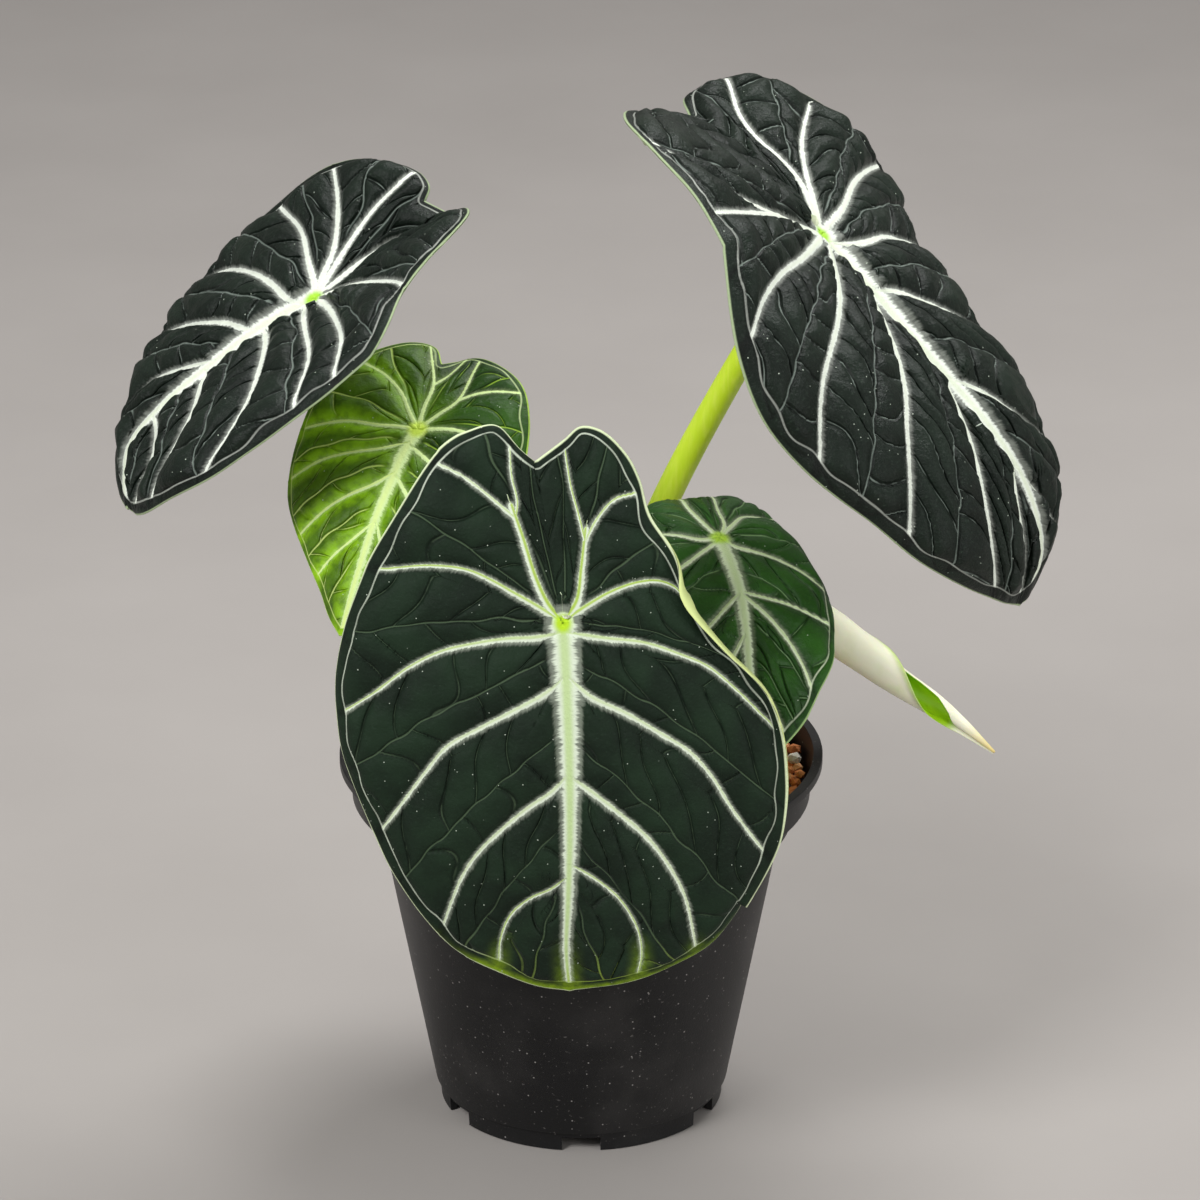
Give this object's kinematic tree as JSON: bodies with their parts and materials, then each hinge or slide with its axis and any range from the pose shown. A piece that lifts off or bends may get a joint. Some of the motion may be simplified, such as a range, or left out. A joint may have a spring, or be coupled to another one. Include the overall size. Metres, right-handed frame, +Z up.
{
  "type": "potted alocasia",
  "caption": "Potted black alocasia: broad quilted leaves with pale raised veins on tall stalks, and a rolled new leaf, in a ribbed-foot nursery pot filled with clay granules.",
  "frame": {"origin": "centre of the pot's foot, on the surface it stands on", "axes": "+Z up along the pot's axis, -Y towards the viewer of the picture, where the large front leaf hangs, +X to that viewer's right, where the tallest leaf is"},
  "size_m": [0.2872, 0.1713, 0.3276],
  "materials": {
    "dark_leaf": "satin",
    "green_leaf": "satin",
    "young_leaf": "satin",
    "rolled_leaf": "satin",
    "petiole": "satin",
    "stem": "matt, dry leaf scars",
    "pot_plastic": "fine matt moulding with a soft sheen",
    "clay_granules": "rough, matt",
    "white_granules": "rough, matt"
  },
  "bodies": {
    "root": {"leaf_front": "dark_leaf", "petiole_front": "petiole", "leaf_left": "dark_leaf", "petiole_left": "petiole", "leaf_left_small": "young_leaf", "petiole_left_small": "petiole", "leaf_right": "dark_leaf", "petiole_right": "petiole", "leaf_right_small": "green_leaf", "petiole_right_small": "petiole", "leaf_rolled": "rolled_leaf", "petiole_rolled": "petiole", "stem_base": "stem", "pot": "pot_plastic", "granule_bed": "clay_granules", "white_granule_1": "white_granules", "white_granule_2": "white_granules", "white_granule_3": "white_granules"}
  },
  "joints": []
}
